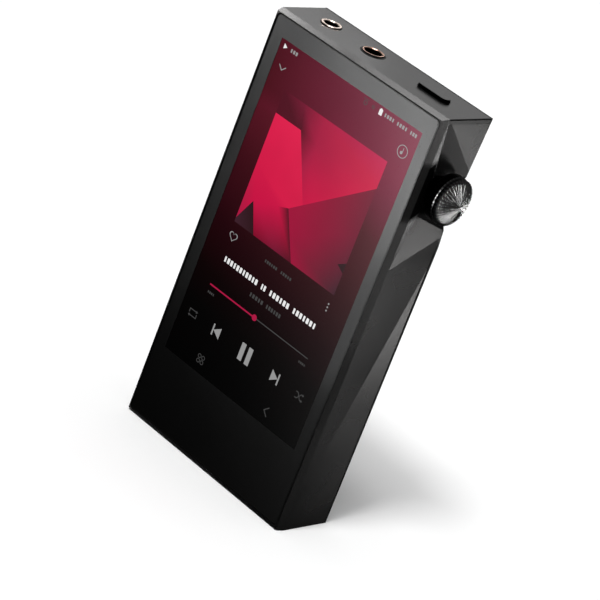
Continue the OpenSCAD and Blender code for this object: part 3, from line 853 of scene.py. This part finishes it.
def build_screen():
    """Lit picture on the display, its nearer layers in front of the farther ones."""
    glow = lit_attribute("lit_art")
    colored_piece("screen_backdrop", backdrop_planes(), backdrop_y, 0, glow)
    colored_piece("screen_artwork", art_planes(), art_y + LAYER_T, 0.004, glow)
    screen_piece("screen_bright_icons", white_shapes(), icon_y, lit("lit_white", 0.9))
    screen_piece("screen_pale_icons", pale_shapes(), icon_y, lit("lit_pale", 0.33))
    screen_piece("screen_dim_icons", dim_shapes(), icon_y, lit("lit_dim", 0.06))
    screen_piece("screen_progress", progress_shapes(), icon_y, lit("lit_progress", (0.45, 0.01, 0.06)))


GLASS_R = 1.2
GLASS_CHAMFER = 0.14
INK_INSET = 0.05


def glass_outline(inset, steps):
    """Outline of the glass, shrunk by inset."""
    return rectangle(glass_low.x + inset, glass_high.x - inset, glass_low.z + inset, glass_high.z - inset,
                     GLASS_R - inset, steps)


def build_ink_frame():
    """Black print behind the glass, with a window over the lit area."""
    solid = Solid()
    outer = glass_outline(INK_INSET, 6)
    window = rectangle(-lit_x, lit_x, lit_foot, lit_top)[::-1]
    solid.plate([outer, window], ink_y, ink_y + LAYER_T)
    ink = grained("black_ink", 0.02, 0.0, 0.35, cell=0.6, mottle=0.03, height=0, round_edge=0)
    return mesh_object("glass_ink_frame", solid.points, solid.faces, ink, "player")


def build_glass_pane():
    """Front pane with a polished chamfer round its edge."""
    outlines = [(glass_low.y, GLASS_CHAMFER), (glass_low.y + GLASS_CHAMFER, 0.0), (pane_back, 0.0)]
    points, faces = [], []
    for y, inset in outlines:
        points += [(x, y, z) for x, z in glass_outline(inset, 8)]
    count = len(points) // len(outlines)
    for layer in range(len(outlines) - 1):
        for i in range(count):
            a, b = layer * count + i, layer * count + (i + 1) % count
            faces.append((a, a + count, b + count, b))
    faces.append(tuple(range(count)))
    faces.append(tuple(reversed(range(len(points) - count, len(points)))))
    pane = mesh_object("glass_pane", points, faces, SLOT_MATERIALS["cover_glass"], "player")
    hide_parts("cover_glass")
    return pane


# ---------- knob ----------

SAMPLES_PER_TOOTH = 10
TEETH_START_X = 33.1
FLUTE_DEPTH = 0.5
FLUTE_INWARD = 0.8
FLUTE_BACKWARD = 0.6
SHAFT_R = 2.6
HUB_R = 3.9
SKIRT_BACK = 3.2
CONE_HEIGHT = 1.9
CONE_STEPS = 18


def knob_profile():
    """(radius, x, flute depth) from the hub round the smooth skirt and over the toothed rim to the apex."""
    r, inner_x, apex = knob_r, knob_low.x, knob_high.x
    skirt = inner_x + SKIRT_BACK
    rim = apex - CONE_HEIGHT
    edge = TEETH_START_X
    skirt_points = [(SHAFT_R, inner_x, 0), (HUB_R, inner_x, 0), (HUB_R, skirt, 0), (r - 0.4, skirt, 0),
                    (r - 0.1, skirt + 0.12, 0), (r, skirt + 0.4, 0), (r, edge - 0.5, 0),
                    (r - 0.03, edge - 0.36, 0), (r - 0.2, edge - 0.14, 0), (r - 0.3, edge - 0.1, 0),
                    (r - 0.34, edge, 0)]
    rim_points = [(r - 0.2, edge + 0.08, 0.1), (r - 0.14, edge + 0.45, 0.5), (r - 0.14, rim - 0.7, 0.9),
                  (r - 0.2, rim - 0.55, 1.0), (r - 0.75, rim - 0.05, 1.15), (r - 0.9, rim + 0.05, 1.15)]
    start_r, start_x, start_depth = rim_points[-1]
    cone = []
    for i in range(1, CONE_STEPS + 1):
        share = i / CONE_STEPS
        height = (apex - start_x) * share ** 0.95
        fade = start_depth * (1 - share) ** 1.4
        cone.append((max(start_r * (1 - share), 0.02), start_x + height, fade))
    return skirt_points + rim_points + cone


def build_knob():
    """Knob turned from its profile, with flutes that run over its rim and fade towards its apex."""
    columns = TEETH * SAMPLES_PER_TOOTH
    profile = knob_profile()
    points, faces = [], []
    for radius, x, depth in profile:
        for i in range(columns):
            turn = 2 * pi * i / columns
            valley = (1 - abs(cos(TEETH * turn / 2))) * depth * FLUTE_DEPTH
            r = radius - FLUTE_INWARD * valley
            points.append((x - FLUTE_BACKWARD * valley, knob_y + r * cos(turn), knob_z + r * sin(turn)))
    rings = len(profile)
    for j in range(rings - 1):
        for i in range(columns):
            a, b = j * columns + i, j * columns + (i + 1) % columns
            faces.append((a, b, b + columns, a + columns))
    last = (rings - 1) * columns
    faces.append(tuple(reversed(range(columns))))
    faces.append(tuple(range(last, last + columns)))
    knob = mesh_object("fluted_volume_knob", points, faces, SLOT_MATERIALS["knob_metal"], "knob",
                       True)
    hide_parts("volume_knob")
    return knob


# ---------- stage ----------

def direction(azimuth, elevation):
    """Unit vector, with azimuth 0 towards -Y and 90 towards +X, in degrees."""
    a, e = radians(azimuth), radians(elevation)
    return Vector((sin(a) * cos(e), -cos(a) * cos(e), sin(e)))


# Camera: azimuth, elevation and roll in degrees, distance, aim and lens in millimetres
CAMERA_AZIMUTH = 36.37
CAMERA_ELEVATION = 22.11
CAMERA_ROLL = 21.64
CAMERA_DISTANCE = 731.4
CAMERA_AIM = Vector((3.67, -0.79, 52.42))
CAMERA_LENS = 171.8


def add_camera():
    """Camera at the photo's viewing angle: a long lens, rolled so that the player leans."""
    back = direction(CAMERA_AZIMUTH, CAMERA_ELEVATION)
    level_right = Vector((0, 0, 1)).cross(back).normalized()
    turn = Matrix.Rotation(radians(CAMERA_ROLL), 3, back)
    right = turn @ level_right
    up = back.cross(right)
    data = bpy.data.cameras.new("camera")
    data.lens = CAMERA_LENS
    data.clip_start = 0.05
    data.clip_end = 50
    camera = bpy.data.objects.new("camera", data)
    place = (CAMERA_AIM + back * CAMERA_DISTANCE) * MM
    camera.matrix_world = Matrix.Translation(place) @ Matrix((right, up, back)).transposed().to_4x4()
    scene.collection.objects.link(camera)
    scene.camera = camera


# Lights on the case: azimuth and elevation in degrees, distance and size in millimetres, power in
# milliwatts
CASE_LIGHTS = [
    (-150, 30, 220, 80, 9.2),
    (-130, 30, 220, 80, 14.1),
    (-130, 60, 220, 80, 45.4),
    (-110, 40, 400, 150, 520),
    (118, -10, 300, 34, 12.5),
    (118, -22, 300, 34, 5.6),
    (118, -34, 300, 34, 1.8),
    (127, -4, 300, 34, 12.1),
    (137, -10, 300, 34, 10.1),
    (137, -22, 300, 34, 5.7),
    (137, -28, 300, 34, 1.9),
    (147, -34, 300, 34, 0.8),
    (168, -14, 300, 60, 54.8),
]
CASE_AIM = Vector((5, 0, 80))

# Lights on the knob, given the same way
KNOB_LIGHTS = [
    (140, -40, 250, 40, 63),
    (80, -20, 250, 40, 98),
    (100, -20, 250, 40, 47),
    (180, -20, 250, 40, 83),
    (200, -20, 250, 40, 48),
    (60, 0, 250, 40, 98),
    (140, 0, 250, 40, 59),
    (60, 20, 250, 40, 36),
    (55, -20, 250, 60, 60),
]
KNOB_AIM = Vector((33, 2, 97.5))

# Lights on the plated rings, given the same way
RING_LIGHTS = [
    (216, 50, 250, 120, 500),
    (30, 75, 250, 160, 300),
]
RING_AIM = Vector((-12, 1, 118))

# Soft lights on the sides that the photo's view doesn't show, given the same way
FILL_LIGHTS = [
    (90, -6, 400, 220, 110),
    (-45, -14, 240, 150, 60),
    (-90, -6, 400, 220, 110),
    (180, -6, 400, 220, 60),
]
FILL_AIM = Vector((0, 0, 60))

# Lights on the rear cover, given the same way
REAR_LIGHTS = [
    (135, -10, 300, 90, 14),
    (150, 0, 300, 160, 12),
    (115, -25, 300, 160, 12),
]

# Lights on the ink frame: place and size in millimetres, power in milliwatts
INK_LIGHTS = [
    ((-3, -56, 96), 70, 36),
    ((-5, -56, 55), 70, 12),
    ((-60, -60, 120), 70, 17),
    ((-80, -40, 140), 30, 86),
]
INK_AIM = Vector((22, -9.5, 105))

# Suns on the floor: azimuth, elevation, width in degrees and share of the light
FLOOR_SUNS = [(0, 64, 12, 0.44), (12, 76, 12, 0.2), (0, 90, 60, 0.37)]
FLOOR_TONE = 0.9
SUN_AWAY = 500

# Half the floor's width in metres, and its drop below the player in millimetres
FLOOR_HALF = 6.0
FLOOR_DROP = 0.02


# Dim room: range of height over which it gets lighter, and its light at both ends
ROOM_HEIGHTS = (-0.3, 0.9)
ROOM_LEVELS = (0.006, 0.06)


def room_world():
    """White to the camera. For all other rays, a dim room that is a little lighter overhead."""
    world = bpy.data.worlds.new("room")
    world.use_nodes = True
    scene.world = world
    tree = world.node_tree
    tree.nodes.clear()
    look = add(tree, "TexCoord").outputs["Generated"]
    height = xyz(tree, look)[2]
    level = ramp(tree, height, *ROOM_HEIGHTS, *ROOM_LEVELS)
    room = add(tree, "Background", {"Color": rgb(1), "Strength": level}).outputs["Background"]
    white = add(tree, "Background", {"Color": rgb(1), "Strength": 1.0}).outputs["Background"]
    seen = add(tree, "LightPath").outputs["Is Camera Ray"]
    mix = add(tree, "MixShader", {0: seen, 1: room, 2: white})
    add(tree, "OutputWorld", {"Surface": mix.outputs["Shader"]})


def group_of(name, objects):
    """Collection that lights can be linked to."""
    group = bpy.data.collections.new(name)
    for item in objects:
        group.objects.link(item)
    return group


def add_lamp(name, data, place, aim, receivers, blockers=None):
    """Light at a place in millimetres that shines on its receivers only.

    Where blockers are given, only they cast its shadows.
    """
    lamp = bpy.data.objects.new(name, data)
    lamp.location = place * MM
    lamp.rotation_euler = (place - aim).to_track_quat("Z", "Y").to_euler()
    lamp.visible_camera = False
    lamp.light_linking.receiver_collection = receivers
    if blockers:
        lamp.light_linking.blocker_collection = blockers
    scene.collection.objects.link(lamp)


def add_disc(name, place, aim, size, milliwatts, receivers, blockers=None):
    """Round lamp of a size in millimetres."""
    data = bpy.data.lights.new(name, "AREA")
    data.shape = "DISK"
    data.size = size * MM
    data.energy = milliwatts * MILLI
    add_lamp(name, data, place, aim, receivers, blockers)


def add_discs(name, lights, aim, receivers, blockers=None):
    """Round lamps listed by azimuth, elevation, distance, size and power."""
    for number, (azimuth, elevation, distance, size, milliwatts) in enumerate(lights):
        place = aim + direction(azimuth, elevation) * distance
        add_disc(f"{name}_{number}", place, aim, size, milliwatts, receivers, blockers)


def light_player(case, knob, ink):
    """Lamps of each group of pieces."""
    rings = [frame["nodes"][name] for name in ("jack_35_ring", "jack_44_ring")]
    add_discs("ring_light", RING_LIGHTS, RING_AIM, group_of("lit_rings", rings))
    add_discs("case_light", CASE_LIGHTS, CASE_AIM, case, case)
    add_discs("fill_light", FILL_LIGHTS, FILL_AIM, case)
    rear = group_of("lit_rear", [frame["nodes"]["rear_cover"]])
    add_discs("rear_light", REAR_LIGHTS, FILL_AIM, rear)
    add_discs("knob_light", KNOB_LIGHTS, KNOB_AIM, group_of("lit_knob", [knob]))
    ink_only = group_of("lit_ink", [ink])
    for number, (place, size, milliwatts) in enumerate(INK_LIGHTS):
        add_disc(f"ink_light_{number}", Vector(place), INK_AIM, size, milliwatts, ink_only)


def light_floor(floor):
    """Suns that light the floor alone, each with its share of an even tone."""
    floor_only = group_of("lit_floor", [floor])
    for number, (azimuth, elevation, width, share) in enumerate(FLOOR_SUNS):
        data = bpy.data.lights.new(f"floor_sun_{number}", "SUN")
        data.angle = radians(width)
        data.energy = share * pi / FLOOR_TONE / sin(radians(elevation))
        place = direction(azimuth, elevation) * SUN_AWAY
        add_lamp(f"floor_sun_{number}", data, place, Vector(), floor_only)


# Card that the glass mirrors: its direction from the glass, its distance and its size
CARD_AZIMUTH = -36
CARD_ELEVATION = -22
CARD_AWAY = 300
CARD_SIZE = 280
CARD_AIM_Z = 60

# Its brightness at its middle, the doublings of it per millimetre across and up, and their cap
CARD_LEVEL = 0.11
CARD_RISE_X = 0.078
CARD_RISE_Y = 0.035
CARD_CAP = 16.0
CARD_CAP_BLEND = 8.0


def square_sheet(name, half, material):
    """Square face that looks along its own +Z, with half its width in metres."""
    mesh = bpy.data.meshes.new(name)
    corners = [(-half, -half, 0), (half, -half, 0), (half, half, 0), (-half, half, 0)]
    mesh.from_pydata(corners, [], [(0, 1, 2, 3)])
    mesh.materials.append(material)
    sheet = bpy.data.objects.new(name, mesh)
    sheet.visible_diffuse = False
    sheet.visible_shadow = False
    scene.collection.objects.link(sheet)
    return sheet


def card_glow(name):
    """Soft glow that doubles at a steady rate towards one corner, up to its cap."""
    material, tree = new_material(name)
    x, y, _ = xyz(tree, object_place(tree))
    across = product(tree, x, CARD_RISE_X / MM)
    doublings = calc(tree, "MULTIPLY_ADD", y, CARD_RISE_Y / MM, across)
    level = calc(tree, "SMOOTH_MIN", calc(tree, "POWER", 2.0, doublings), CARD_CAP, CARD_CAP_BLEND)
    finish_glow(tree, rgb(1), product(tree, level, CARD_LEVEL))
    return material


def add_glass_card(pane):
    """Card in the camera's mirror direction that only the glass mirrors."""
    toward = direction(CARD_AZIMUTH, CARD_ELEVATION)
    card = square_sheet("glass_card", CARD_SIZE / 2 * MM, card_glow("soft_card"))
    card.location = (Vector((0, glass_low.y, CARD_AIM_Z)) + toward * CARD_AWAY) * MM
    card.rotation_euler = toward.to_track_quat("Z", "Y").to_euler()
    card.visible_camera = False
    card.light_linking.receiver_collection = group_of("glass_only", [pane])


def add_floor():
    """Plain pale floor that its own soft suns light, so that the player's lights leave it even."""
    material, tree = new_material("pale_floor")
    tone = shaded(tree, FLOOR_TONE, mottled(tree, grain(tree, 40), 0.005))
    finish_material(tree, add(tree, "BsdfDiffuse", {"Color": tone}).outputs["BSDF"])
    floor = square_sheet("floor", FLOOR_HALF, material)
    floor.location.z = -FLOOR_DROP * MM
    floor.visible_glossy = False
    return floor


scene.view_settings.view_transform = "Standard"
add_camera()
room_world()
dress_frame()
pane = build_glass_pane()
ink_frame = build_ink_frame()
build_screen()
knob = build_knob()
light_floor(add_floor())
add_glass_card(pane)
case_nodes = [item for name, item in frame["nodes"].items() if name != "rear_cover"]
light_player(group_of("lit_case", case_nodes), knob, ink_frame)
